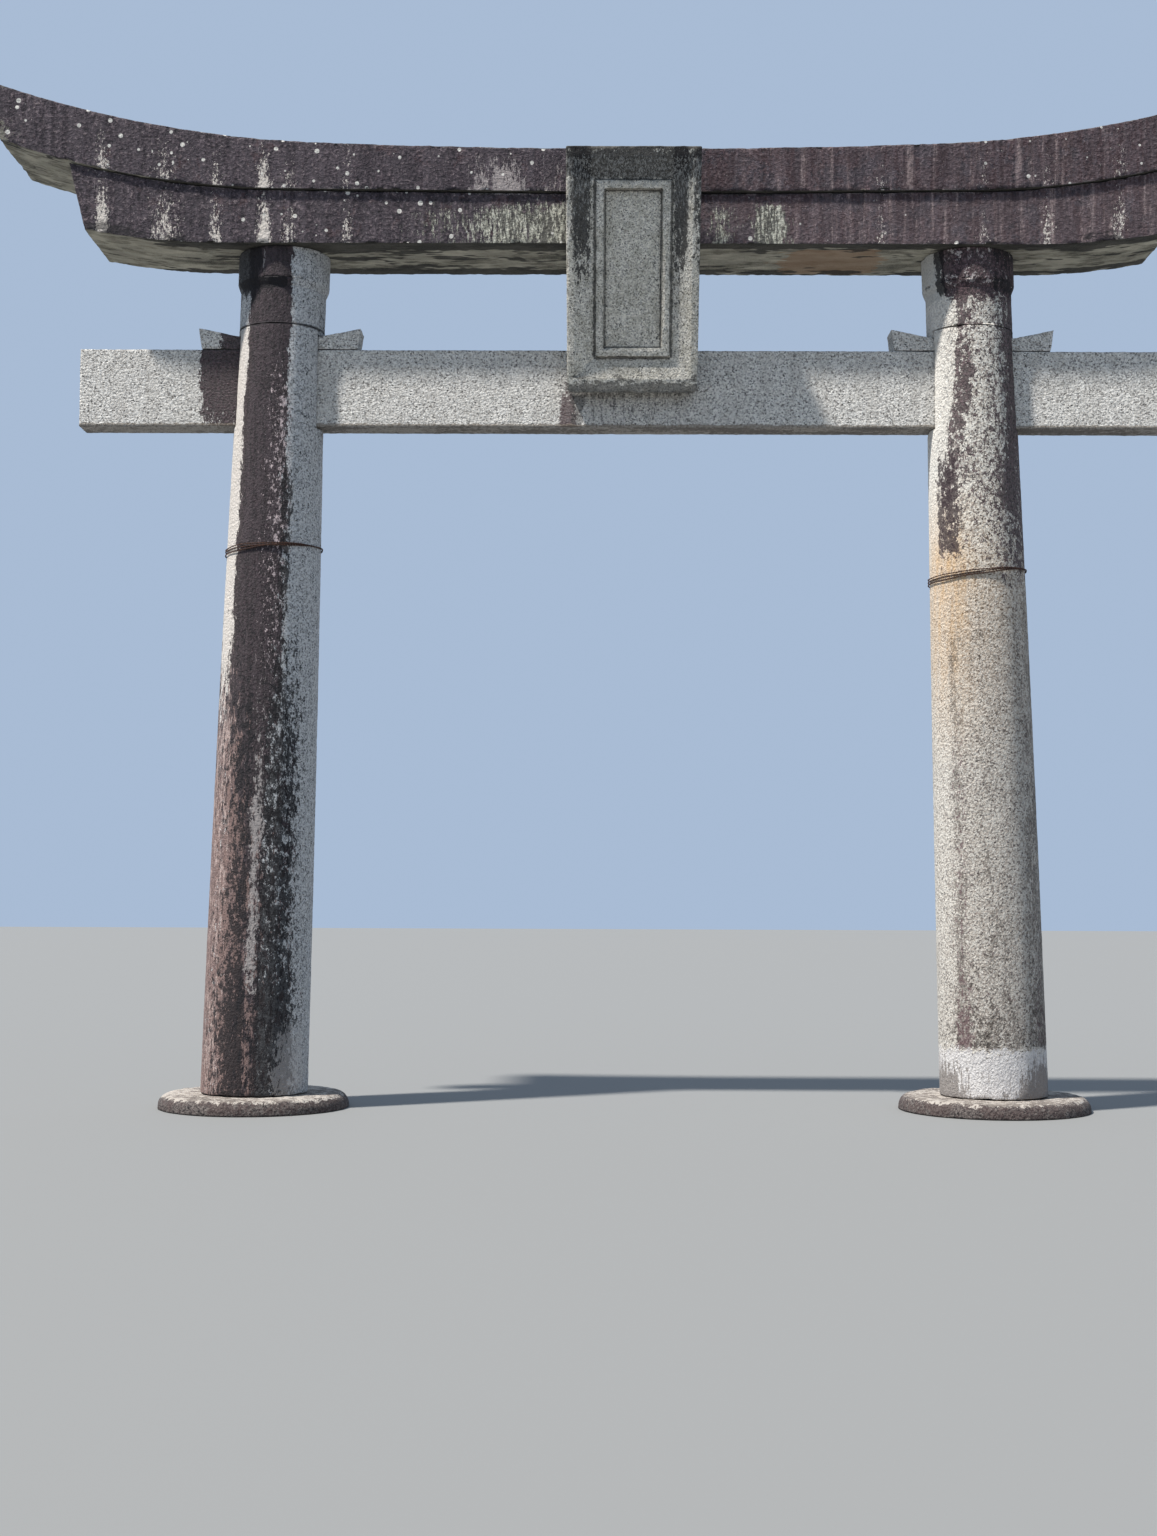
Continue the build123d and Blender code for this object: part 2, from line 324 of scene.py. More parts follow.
def stained(finish, colour, hue, mask, strength):
    """A colour with a hue over it where the mask is, at most as strong as said."""
    thin = finish.product(mask, strength)
    hue = hue if isinstance(hue, bpy.types.NodeSocket) else linear(hue)
    return finish.add("Mix", {"data_type": "RGBA", 0: thin, 6: colour, 7: hue}, 2)


def patched(finish, colour, hue, covers, size, bite, strength, **lumps):
    """A colour with a hue over it in frayed clumps where all the covers are."""
    return stained(finish, colour, hue, ragged(finish, covers, size, bite, **lumps), strength)


# Share of the grid's cells that hold no lichen, and the soft edge of a spot as a share of its radius
LICHEN_BARE, LICHEN_EDGE = 0.1, 0.12


def lichen(finish, where, spacing, radius):
    """Round lichen spots of up to radius metres, in as many cells of a loose grid as where says."""
    cell = {"Vector": finish.place, "Scale": 1 / spacing, "Randomness": 1.0}
    apart = finish.add("TexVoronoi", cell, "Distance")
    pick = finish.add("SeparateColor", {"Color": apart.node.outputs["Color"]})
    size = finish.between(pick, LICHEN_BARE, 1, high=radius / spacing)
    inside = finish.add("Math", {"operation": "SUBTRACT", 0: size, 1: apart})
    spot = finish.between(inside, 0, LICHEN_EDGE * radius / spacing)
    grows = finish.add("Math", {"operation": "GREATER_THAN", 0: where, 1: pick.node.outputs[1]})
    return finish.product(spot, grows)


# Sizes of the patterns. Granite's crystals are 2 to 5 mm across and a bush hammer's pits about 5 mm, but a
# pixel covers about 7 mm of the gate, so both would vanish. The crystals are drawn at 8 to 11 mm and the pits
# at 12 to 16 mm. The point chisel's pecks on the lintels and the hollows trodden in the base stones are about
# 22 mm and show as they are. Flakes of rust, 1 mm or less, are drawn at 6 mm. Clumps, runs and drips are
# sized against the photograph, the soffits' blotches larger, as finer ones vanish at so flat an angle.
GRANITE = [(0, "#e9e5dd"), (0.40, "#d0ccc5"), (0.70, "#aca8a2"), (0.90, "#7a7672"), (0.97, "#484542")]
# Pale runs down the lintels, from left to right: middle, half width and strength
PALE_RUNS = [(-3.872, 0.080, 0.82), (-3.405, 0.19, 0.50), (-3.030, 0.08, 0.66), (-2.673, 0.080, 0.98),
             (-2.49, 0.10, 0.48), (-2.06, 0.07, 0.5), (1.868, 0.07, 0.45), (2.627, 0.07, 0.42),
             (3.090, 0.08, 0.5), (3.617, 0.08, 0.55)]


def lintel_granite():
    """Granite left rough from the point chisel and black with age: dark, dull and pecked all over."""
    stone = Finish("granite_rough_tooled_crusted")
    add = stone.add
    rise = add("Attribute", {"attribute_name": "lintel_rise"}, "Fac")
    wear = add("Attribute", {"attribute_name": "wear"}, "Fac")
    tooling = clouds(stone, 0.022, along=1.15, detail=4, roughness=0.65)
    grain = crystals(stone, 0.010, [(0, "#b1b09f"), (0.35, "#949283"), (0.62, "#757367"), (0.84, "#4f4d48")])
    upright = add("Math", {"operation": "SUBTRACT", 0: 1.0, 1: stone.under})

    # Crust: maroon brown, black in the hollows, streaked by rain, redder to the right
    crust = add("ValToRGB", {"stops": [(0.28, "#141013"), (0.42, "#30292f"), (0.57, "#50444a"),
        (0.76, "#a79896")], "Fac": tooling})
    redder = stone.by_x([(-4.7, 0.25), (-0.5, 0.35), (0.5, 0.55), (4.7, 0.7)])
    crust = patched(stone, crust, "#523534", [redder], size=0.20, bite=1.2, strength=0.4)
    crust = patched(stone, crust, "#80757a", [clouds(stone, 0.05, down=16, detail=2)], size=0.02, bite=0.7,
        strength=0.22, down=3)
    crust = patched(stone, crust, "#262127", [clouds(stone, 0.08, down=6)], size=0.025, bite=0.8,
        strength=0.38, down=2)
    lower = read_off(stone, rise, [(-0.42, 1), (-0.08, 1), (-0.03, 0), (0, 0)])
    to_right = stone.by_x([(0, 0), (0.6, 1), (4.7, 1)])
    crust = stained(stone, crust, "#8a7b7d", stone.product(lower, to_right), 0.10)
    crust = patched(stone, crust, "#9a918c", [wear, clouds(stone, 0.2)], size=0.03, bite=1.2, strength=0.4)
    right = stone.by_x([(0.5, 0.0), (1.2, 0.6), (2.2, 0.7), (3.2, 0.65), (4.7, 0.55)])
    washed = stone.product(stone.between(clouds(stone, 0.06, down=22), 0.50, 0.70), right)
    crust = stained(stone, crust, "#94807e", washed, 0.42)
    crust = patched(stone, crust, "#b09d99", [washed, stone.front], size=0.018, bite=1.5, strength=0.35,
        down=2.5)

    # Bare greenish fields where the crust has gone
    below_joint = read_off(stone, rise, [(-0.42, 1), (-0.18, 0.95), (-0.10, 0.65), (-0.04, 0.1), (0.0, 0)])
    green = stone.by_x([(-1.85, 0), (-1.60, 0.25), (-1.42, 0.42), (-1.25, 0.36), (-1.12, 0.48), (-0.99, 0.62),
        (-0.85, 0.85), (-0.72, 0.72), (-0.58, 0.80), (-0.50, 1.0), (-0.30, 1.0), (-0.28, 0), (0.58, 0),
        (0.66, 0.6), (0.76, 0.5), (0.84, 0.15), (0.93, 0.3), (0.99, 0.95), (1.12, 0.95), (1.20, 0.3),
        (1.36, 0)])
    field = ragged(stone, [green, below_joint, stone.front], size=0.024, bite=1.5, down=4)
    bare = patched(stone, grain, "#d6d4c3", [clouds(stone, 0.05, down=8)], size=0.02, bite=1.2, strength=0.8,
        down=3)
    bare = patched(stone, bare, "#3f3d39", [clouds(stone, 0.035, down=9)], size=0.02, bite=1.5, strength=0.85,
        down=4)
    stone.colour = stained(stone, crust, bare, field, 0.92)
    low_on_upper = read_off(stone, rise, [(-0.02, 0), (0.0, 0.95), (0.08, 0.8), (0.20, 0.5), (0.30, 0.1),
        (0.34, 0)])
    upper_patch = stone.by_x([(-1.22, 0), (-1.09, 0.75), (-1.00, 0.6), (-0.90, 1.0), (-0.82, 0.85),
        (-0.72, 0.25), (-0.5, 0.4), (-0.4, 0)])
    stone.patch("#b3a9a5", [upper_patch, low_on_upper, stone.front], size=0.022, bite=1.5, strength=0.72,
        down=4)
    far_left = stone.by_x([(-4.8, 0.9), (-4.6, 0.7), (-4.45, 0.2), (-4.3, 0)])
    stone.patch("#8f8d7d", [far_left, low_on_upper], size=0.05, bite=1.0, strength=0.6)

    # Pale flecked runs, heaviest at each lower edge
    heavy = read_off(stone, rise, [(-0.42, 1.2), (-0.33, 1.1), (-0.20, 0.75), (-0.09, 0.45), (-0.005, 0.3),
        (0.01, 1.0), (0.12, 0.62), (0.24, 0.42), (0.34, 0.2)])
    runs = stone.by_x(peaks(PALE_RUNS, -4.7, 4.7))
    stone.patch("#e6dcd0", [runs, heavy, upright], size=0.017, bite=1.6, strength=0.88, down=2)

    # Soffits tan and olive, black in blotches and along the front arris
    soffit = add("ValToRGB", {"stops": [(0.3, "#4c483e"), (0.5, "#8b8677"), (0.7, "#cdc7b5")],
        "Fac": clouds(stone, 0.09, along=3, back=1.3, detail=2)})
    soffit = stained(stone, soffit, grain, clouds(stone, 0.4, along=2, detail=2), 0.4)
    soffit = patched(stone, soffit, "#cfc9b8", [clouds(stone, 0.15, along=3, detail=2)], size=0.08, bite=0.9,
        strength=0.4, along=4, detail=2)
    brown = stone.by_x([(-4.7, 0.1), (0.7, 0.1), (1.15, 0.4), (1.33, 1.0), (1.78, 1.0), (1.95, 0.4),
        (2.1, 0.2), (4.7, 0.3)])
    middle = stone.by_y([(-0.4, 0.0), (-0.2, 0.7), (-0.05, 1.0), (0.3, 1.0), (0.36, 0.4)])
    soffit = patched(stone, soffit, "#a18062", [brown, middle], size=0.10, bite=0.7, strength=0.7, along=3,
        detail=2)
    near_front = stone.by_y([(-0.50, 1.2), (-0.34, 1.1), (-0.28, 0.80), (-0.20, 0.44), (-0.10, 0.34),
        (0.0, 0.46), (0.12, 0.28), (0.22, 0.4), (0.31, 0.8), (0.5, 0.9)])
    patchy = stone.by_x([(-4.7, 0.35), (-3.6, 0.45), (-3.1, 0.95), (-2.6, 1.25), (-2.0, 1.2), (-0.2, 1.2),
        (0.5, 0.85), (1.9, 0.7), (2.8, 0.95), (4.7, 0.85)])
    soffit = patched(stone, soffit, "#191715", [near_front, patchy], size=0.11, bite=1.0, strength=0.85,
        along=3.5, detail=2)
    stone.stain(soffit, stone.under)

    # Lower arris dark, top dusty
    lower_arris = read_off(stone, rise, [(-0.42, 0.9), (-0.375, 0.8), (-0.350, 0.1), (-0.34, 0), (0.1, 0)])
    stone.patch("#1f1c1e", [lower_arris, upright, clouds(stone, 0.3, detail=2)], size=0.05, bite=1.0,
        strength=0.7, along=3)
    stone.patch("#57554b", [clouds(stone, 0.25), stone.top], size=0.05, bite=1.0, strength=0.7)

    # Dirt in the seam between the two halves
    seam = stone.by_x([(-0.03, 0), (-0.014, 1), (0.014, 1), (0.03, 0)])
    stone.stain("#1b181a", seam, 0.85)

    # Lichen, white and round
    where = stone.by_x([(-4.7, 0.5), (-3.6, 0.3), (-2.9, 0.9), (-1.2, 1.0), (-0.6, 0.3), (0.4, 0.2),
        (2.4, 0.25), (3.0, 0.6), (4.7, 0.6)])
    spots = stone.product(lichen(stone, where, spacing=0.076, radius=0.020), upright)
    stone.stain("#dcd8cf", spots, 0.95)
    return stone.done(roughness=0.95, height=tooling, depth=0.036)


def tie_granite():
    """Pale granite dressed with a bush hammer: bright crystals in a pitted, quite matt face."""
    stone = Finish("granite_bush_hammered_pale")
    add = stone.add
    pits = clouds(stone, 0.016, along=1.3, roughness=0.65)
    stone.colour = crystals(stone, 0.0095, GRANITE)
    stone.stain("#67645f", stone.between(pits, 0.45, 0.32), 0.5)
    stone.stain("#fdfaf1", stone.between(pits, 0.54, 0.68), 0.7)
    stone.patch("#aaa49b", [clouds(stone, 0.10, down=5)], size=0.04, bite=0.8, strength=0.25, down=2)

    # Maroon run beside the left pillar and on the half of the outer wedge next to it, and a thin one under
    # the tablet's left corner
    upright = add("Math", {"operation": "SUBTRACT", 0: 1.0, 1: stone.under})
    beside = stone.by_x([(-3.30, 0), (-3.22, 0.15), (-3.13, 0.9), (-3.04, 1.0), (-2.6, 1.0), (-2.5, 0),
        (-2.4, 0)])
    fade = stone.by_z([(5.04, 0.55), (5.12, 0.70), (5.24, 0.95), (5.35, 1.1), (TIE_TOP, 1.1),
        (TIE_TOP + 0.004, 0), (5.9, 0)])
    crust = add("ValToRGB", {"stops": [(0.30, "#191115"), (0.5, "#322126"), (0.7, "#5b424a")], "Fac": pits})
    ahead = stone.by_y([(-0.3, 1.0), (0.0, 1.0), (0.08, 0.45), (0.2, 0.35), (0.3, 0.35)])
    stone.patch(crust, [beside, fade, upright, ahead], size=0.035, bite=1.1, strength=0.93, down=2)
    by_shaft = stone.by_x([(-3.10, 0), (-3.03, 0.55), (-2.97, 1.0), (-2.6, 1.0), (-2.5, 0)])
    on_wedge = stone.by_z([(TIE_TOP, 0), (TIE_TOP + 0.004, 1), (TIE_TOP + 0.06, 0.9), (TIE_TOP + 0.15, 0.7)])
    stone.patch(crust, [by_shaft, on_wedge, ahead], size=0.035, bite=1.1, strength=0.9)
    low = stone.by_z([(5.04, 1), (5.20, 0.85), (5.34, 0.45), (5.42, 0.2), (5.6, 0)])
    corner = stone.by_x([(-0.52, 0), (-0.47, 0.9), (-0.41, 0.95), (-0.33, 0.2), (-0.30, 0)])
    stone.patch("#523d3f", [corner, low, stone.front], size=0.03, bite=1.2, strength=0.85)

    # Mostly painted shadow of the tablet on the beam under it, with some damp; darkest where it touches
    shade_and_damp_across = stone.by_x([(-0.46, 0), (-0.40, 0.75), (-0.34, 0.85), (-0.28, 0.5), (0.0, 0.45), (0.40, 0.45),
        (0.52, 0.3), (0.58, 0)])
    shade_and_damp_down = stone.by_z([(5.04, 0.8), (5.15, 0.7), (5.26, 0.8), (5.33, 1.4), (5.42, 1.4), (5.8, 1.0)])
    stone.patch("#3b3a39", [shade_and_damp_across, shade_and_damp_down, stone.front], size=0.05, bite=1.3, strength=0.62, down=3)

    # Soffit and lower arris, brown and dull
    stone.stain("#8c8681", stone.under, 0.72)
    stone.patch("#4c4642", [stone.under, clouds(stone, 0.25, along=3, detail=4)], size=0.05, bite=0.8,
        strength=0.65)
    stone.patch("#77736b", [stone.top, clouds(stone, 0.2)], size=0.05, bite=0.8, strength=0.6)
    edge = stone.by_z([(TIE_BOTTOM, 1), (TIE_BOTTOM + 0.012, 0.9), (TIE_BOTTOM + 0.045, 0), (TIE_TOP, 0)])
    stone.patch("#7d7162", [edge, upright], size=0.04, bite=0.9, strength=0.7, along=2)
    return stone.done(roughness=0.9, height=pits, depth=0.032)


# How far, in degrees, the edge of a stain wanders to and fro down a pillar
WANDER = 14
# Half a turn in degrees, with room for the wandering
HALF_ROUND = 195


def around_pillar(stone, side, turn):
    """Angle in degrees round a leaning pillar, 90 to the right of its turned front, and profiles along it."""
    axis = stone.add("Math", {"operation": "MULTIPLY_ADD", 0: stone.z, 1: -side * tan(PILLAR_LEAN),
        2: side * PILLAR_GROUND_X})
    across = stone.add("Math", {"operation": "SUBTRACT", 0: stone.x, 1: axis})
    forward = stone.add("Math", {"operation": "MULTIPLY", 0: stone.y, 1: -1.0})
    ahead = stone.add("Math", {"operation": "ARCTAN2", 0: across, 1: forward})
    half = WANDER / 2
    square = stone.between(ahead, -pi, pi, low=-180 - turn - half, high=180 - turn - half)
    angle = stone.add("Math", {"operation": "MULTIPLY_ADD", 0: clouds(stone, 0.15, down=2.5), 1: WANDER,
        2: square})

    def around(behind, stops):
        """Strength read off a profile round the pillar, with the same strength behind at both its ends."""
        return read_off(stone, angle, [(-HALF_ROUND - turn, behind), *stops, (HALF_ROUND - turn, behind)])

    return angle, around


def left_pillar_granite():
    """Bush-hammered granite of the left pillar: bare grey on its right, half of it under a maroon crust."""
    stone = Finish("granite_bush_hammered_maroon")
    add = stone.add
    angle, around = around_pillar(stone, -1, 9)
    pits = clouds(stone, 0.015, down=1.3, roughness=0.65)
    stone.colour = crystals(stone, 0.010, [(0, "#c4c4c3"), (0.38, "#a4a4a4"), (0.66, "#858686"),
        (0.86, "#595a5a"), (0.95, "#2f3030")])
    stone.stain("#4c4d4d", stone.between(pits, 0.45, 0.3), 0.55)
    stone.patch("#d6d5d2", [clouds(stone, 0.03, down=9)], size=0.015, bite=1.2, strength=0.35, down=3)
    strip = around(0, [(-115, 0.1), (-90, 0.45), (-72, 0.95), (-46, 1), (-40, 0)])
    strip_z = stone.by_z([(2.6, 0.35), (3.4, 0.85), (5.7, 1), (5.86, 0), (6.0, 0)])
    stone.patch("#cfc5ba", [strip, strip_z], size=0.026, bite=1.4, strength=0.75, down=2)

    # Maroon crust: a clean edge at the top, a torn one above the wire, in stripes further down
    top = around(0.3, [(-115, 0.4), (-88, 0.3), (-74, 0.06), (-54, 0.12), (-46, 0.8), (-40, 1.1), (3, 1.1),
        (9, 0.7), (14, 0.2), (19, 0)])
    high = around(0.25, [(-115, 0.4), (-84, 0.25), (-72, 0.08), (-58, 0.14), (-48, 0.72), (-40, 1.1),
        (-16, 1.1), (-6, 0.88), (6, 0.72), (13, 0.5), (19, 0.08), (60, 0)])
    low = around(0.4, [(-115, 0.6), (-85, 0.8), (-50, 0.7), (-34, 0.9), (-16, 1.0), (-12, 0.85), (-3, 0.75),
        (3, 0.5), (34, 0.42), (44, 0.25), (70, 0.12)])
    cover = add("Mix", {"data_type": "FLOAT", 0: stone.between(stone.z, 2.6, 3.7), 2: low, 3: high})
    cover = add("Mix", {"data_type": "FLOAT", 0: stone.between(stone.z, 5.2, 5.5), 2: cover, 3: top})
    crust = add("ValToRGB", {"stops": [(0.30, "#0f0a0c"), (0.48, "#1f1317"), (0.60, "#2a1d21"),
        (0.76, "#4f3c43")], "Fac": pits})
    brown = stone.by_z([(0.1, 1.0), (1.8, 0.85), (3.0, 0.4), (3.6, 0)])
    faces_left = around(0.8, [(-36, 0.9), (-26, 0.68), (-14, 0.5), (60, 0.5)])
    crust = patched(stone, crust, "#8b7169", [brown, faces_left], size=0.05, bite=1.0, strength=0.75, down=4)
    crust = patched(stone, crust, "#55474b", [clouds(stone, 0.04, down=12)], size=0.02, bite=1.0,
        strength=0.3, down=3)
    stone.patch(crust, [cover], size=0.040, bite=1.15, strength=0.97, down=2.2)

    # White flecks and black drips along the crust's right edge
    fringe = around(0, [(-26, 0.0), (-12, 0.26), (4, 0.42), (15, 0.34), (22, 0)])
    fringe_z = stone.by_z([(0.6, 0.2), (2.6, 0.4), (4.0, 0.95), (5.2, 1.0), (5.45, 0.55), (5.75, 0.1)])
    stone.patch("#c4b3b2", [fringe, fringe_z], size=0.022, bite=1.5, strength=0.88, down=2)
    edging = around(0, [(0, 0), (8, 0.62), (17, 0.62), (24, 0)])
    edging_z = stone.by_z([(2.6, 0.5), (4.0, 0.9), (4.6, 0.95), (4.95, 0.3), (5.2, 0)])
    stone.patch("#151114", [edging, edging_z], size=0.04, bite=1.3, strength=0.9, down=3)

    # Black drips, a pale run and a scuffed whitish patch on the lower half
    drips = around(0.3, [(-90, 0.15), (-60, 0.3), (-42, 0.38), (-33, 0.50), (-18, 0.55), (-14, 0.25),
        (-3, 0.40), (3, 0.58), (30, 0.55), (42, 0.32), (56, 0.16), (90, 0)])
    drips_z = stone.by_z([(0.1, 1.4), (0.7, 1.5), (1.1, 1.15), (2.9, 1.0), (3.6, 0.4), (4.1, 0)])
    stone.patch("#121014", [drips, drips_z], size=0.034, bite=1.5, strength=0.9, down=1.8)
    pale = around(0, [(-19, 0), (-13, 0.5), (-8, 0.72), (-3, 0.5), (3, 0)])
    pale_z = stone.by_z([(0.70, 0), (0.85, 0.6), (1.1, 1.0), (1.6, 0.85), (2.1, 1.0), (2.6, 0.6), (3.2, 0.3),
        (4.0, 0)])
    stone.patch("#a39c98", [pale, pale_z], size=0.028, bite=1.5, strength=0.78, down=2.5)
    scuffs = read_off(stone, angle, [(-204, 0.2), (-90, 0.5), (-50, 0.55), (-34, 0.2), (-28, 0), (186, 0)])
    scuffs_z = stone.by_z([(0.1, 0.7), (0.9, 0.7), (2.9, 0.9), (3.5, 0.2), (3.9, 0)])
    stone.patch("#bda8a0", [scuffs, scuffs_z], size=0.026, bite=1.4, strength=0.6, down=5)
    foot = around(0, [(2, 0), (14, 0.3), (26, 0.7), (36, 0.85), (52, 0.75), (66, 0.4), (86, 0)])
    foot_z = stone.by_z([(0.1, 0.85), (0.30, 1.0), (0.50, 0.8), (0.66, 0.4), (0.8, 0)])
    stone.patch("#b0aca9", [foot, foot_z], size=0.026, bite=1.6, strength=0.5, down=2)

    # Dirt in the joint under the head
    joint = stone.by_z([(5.763, 0), (5.771, 1), (5.785, 1), (5.793, 0)])
    stone.stain("#1a171a", joint, 0.7)

    # Head: black under the ring, partly painted shade on its lower step and partly black crust, and black in
    # drips down its left
    crusted = read_off(stone, angle, [(-204, 0.4), (-80, 0.5), (-50, 0.9), (2, 1.0), (5, 0.3), (12, 0),
        (186, 0)])
    # The band under the ring is partly painted shade
    collar = stone.by_z([(5.98, 0), (6.035, 0.4), (6.065, 0.95), (6.115, 0.95), (6.135, 0), (6.31, 0.1),
        (6.35, 0.7)])
    stone.patch("#110e12", [collar, crusted], size=0.03, bite=0.9, strength=0.9, down=1.5)
    left_drip = read_off(stone, angle, [(-204, 0.3), (-75, 0.75), (-48, 0.95), (-34, 0.6), (-24, 0),
        (186, 0)])
    left_drip_z = stone.by_z([(5.85, 0), (5.98, 0.5), (6.05, 0.8), (6.35, 1.0)])
    stone.patch("#141114", [left_drip, left_drip_z], size=0.05, bite=1.1, strength=0.9, down=3)
    streak = around(0, [(-31, 0), (-27, 0.7), (-22, 0)])
    streak_z = stone.by_z([(6.10, 0), (6.16, 0.7), (6.30, 0.9), (6.35, 0.6)])
    stone.patch("#a39c9a", [streak, streak_z], size=0.018, bite=1.3, strength=0.55, down=3)
    return stone.done(roughness=0.92, height=pits, depth=0.018)


def right_pillar_granite():
    """Bush-hammered granite of the right pillar: cream on its left, mottled dark, orange from the wire."""
    stone = Finish("granite_bush_hammered_mottled")
    add = stone.add
    angle, around = around_pillar(stone, 1, -11)
    pits = clouds(stone, 0.015, down=1.3, roughness=0.65)
    stone.colour = crystals(stone, 0.011, [(0, "#d9d4c9"), (0.36, "#c6bfb3"), (0.62, "#a89f94"),
        (0.84, "#7c756e"), (0.94, "#454140")])
    stone.stain("#665e57", stone.between(pits, 0.44, 0.28), 0.5)
    tan_z = stone.by_z([(0.40, 0), (0.55, 1.0), (1.6, 0.85), (3.3, 0.7), (3.9, 0.45), (4.2, 0), (4.4, 0)])
    tan_side = read_off(stone, angle, [(-184, 0.5), (-90, 0.4), (-50, 0.55), (-30, 0.9), (60, 1.0),
        (206, 0.6)])
    stone.stain("#8a7f77", stone.product(tan_z, tan_side), 0.42)
    cream = around(0, [(-110, 0.3), (-80, 0.8), (-50, 0.8), (-24, 0.3), (0, 0)])
    cream_z = stone.by_z([(0.1, 0.1), (0.8, 0.2), (3.6, 0.4), (4.3, 1.0), (6.0, 1.0)])
    stone.stain("#e4e0d8", stone.product(cream, cream_z), 0.75)
    # Painted shade: grey on the side away from the key light and round the back
    painted_shade_side = around(0.5, [(-120, 0.3), (-90, 0), (20, 0), (50, 0.3), (70, 0.5)])
    stone.patch("#6f6b67", [painted_shade_side], size=0.04, bite=1.5, strength=0.5, down=3)

    # Orange washed down from the wire
    rust = around(0, [(-85, 0.5), (-62, 0.9), (-50, 1.0), (-26, 0.95), (-12, 0.6), (0, 0.35), (40, 0.2)])
    rust_z = stone.by_z([(2.5, 0), (3.3, 0.6), (3.80, 1.0), (4.05, 1.0), (4.25, 0.6), (4.7, 0)])
    veil = stone.product(stone.product(rust, rust_z), clouds(stone, 0.035, down=8))
    stone.stain("#c99a57", veil, 0.95)

    # Dark growth, whose left edge slants outwards on its way down to the wire
    slant = stone.by_z([(4.1, 0.32), (4.55, 0.28), (4.8, 0.21), (5.1, 0.14), (5.35, 0.06), (5.6, 0.01),
        (6.0, 0)])
    turned = add("Math", {"operation": "MULTIPLY_ADD", 0: slant, 1: 100.0, 2: angle})
    mottle = read_off(stone, turned, [(-184, 0.4), (-60, 0.15), (-28, 0.0), (-21, 0.15), (-14, 0.66),
        (-2, 0.68), (8, 0.46), (18, 0.38), (34, 0.44), (54, 0.56), (70, 0.82), (90, 0.9), (236, 0.4)])
    gathered = stone.between(clouds(stone, 0.14, down=3, detail=2), 0.35, 0.65, low=0.78, high=1.22)
    growth_z = stone.by_z([(3.2, 0.15), (3.75, 0.25), (4.1, 0.62), (4.5, 0.92), (4.9, 0.95), (5.6, 1.0),
        (6.1, 1.0)])
    growth = add("ValToRGB", {"stops": [(0.30, "#1c1416"), (0.5, "#3f3033"), (0.7, "#70595c")], "Fac": pits})
    stone.patch(growth, [mottle, growth_z, gathered], size=0.038, bite=1.5, strength=0.9, down=1.5)
    clumps = around(0, [(-58, 0), (-50, 0.75), (-24, 0.75), (-12, 0.3), (2, 0)])
    clumps_z = stone.by_z([(3.98, 0), (4.1, 0.8), (4.35, 0.95), (4.75, 0.7), (5.0, 0.3), (5.1, 0)])
    stone.patch("#33262a", [clumps, clumps_z], size=0.045, bite=1.5, strength=0.88, down=1.4)

    # Brown speckles gathered in columns on the lower shaft, thickest above the clean foot
    columns = around(0.2, [(-60, 0.15), (-42, 0.3), (-34, 0.55), (-26, 0.52), (-18, 0.36), (-8, 0.38),
        (2, 0.44), (14, 0.42), (30, 0.38), (50, 0.48), (75, 0.6)])
    columns_z = stone.by_z([(0.42, 0), (0.50, 1.15), (0.80, 1.0), (1.3, 0.85), (2.6, 0.8), (3.4, 0.8),
        (3.8, 0.6), (4.1, 0)])
    bunched = stone.between(clouds(stone, 0.09, down=4, detail=2), 0.35, 0.65, low=0.6, high=1.4)
    stone.patch("#40372f", [columns, columns_z, bunched], size=0.022, bite=1.5, strength=0.55, down=1.6)
    crowd = around(0.3, [(-50, 0.6), (-34, 0.9), (-10, 0.95), (8, 0.9), (18, 0.5), (34, 0.6), (60, 1.0)])
    crowd_z = stone.by_z([(0.43, 0), (0.49, 0.55), (0.62, 0.48), (0.85, 0.34), (1.25, 0.2), (1.6, 0)])
    stone.patch("#332b25", [crowd, crowd_z], size=0.045, bite=1.5, strength=0.75, down=1.2)
    purple = around(0, [(-44, 0), (-36, 0.7), (-24, 0.7), (-16, 0.1), (50, 0.1), (60, 0.4)])
    purple_z = stone.by_z([(0.42, 0), (0.5, 1.0), (0.75, 0.75), (1.1, 0.5), (2.6, 0.35), (3.0, 0)])
    stone.patch("#5e4448", [purple, purple_z], size=0.026, bite=2.0, strength=0.7, down=2)

    # Clean pale foot, splashed brown at its sides and bottom
    foot = stone.by_z([(0.1, 1.0), (0.34, 0.95), (0.44, 0.6), (0.52, 0.15), (0.6, 0)])
    stone.patch("#cdcac9", [foot], size=0.05, bite=1.2, strength=0.72)
    splash = around(0.7, [(-65, 1.0), (-44, 0.85), (-26, 0.42), (0, 0.3), (22, 0.4), (38, 0.8), (60, 1.1)])
    splash_z = stone.by_z([(0.1, 1.3), (0.16, 1.0), (0.26, 0.72), (0.36, 0.45), (0.48, 0.15), (0.52, 0)])
    stone.patch("#5f544b", [splash, splash_z], size=0.03, bite=1.4, strength=0.7, down=4)
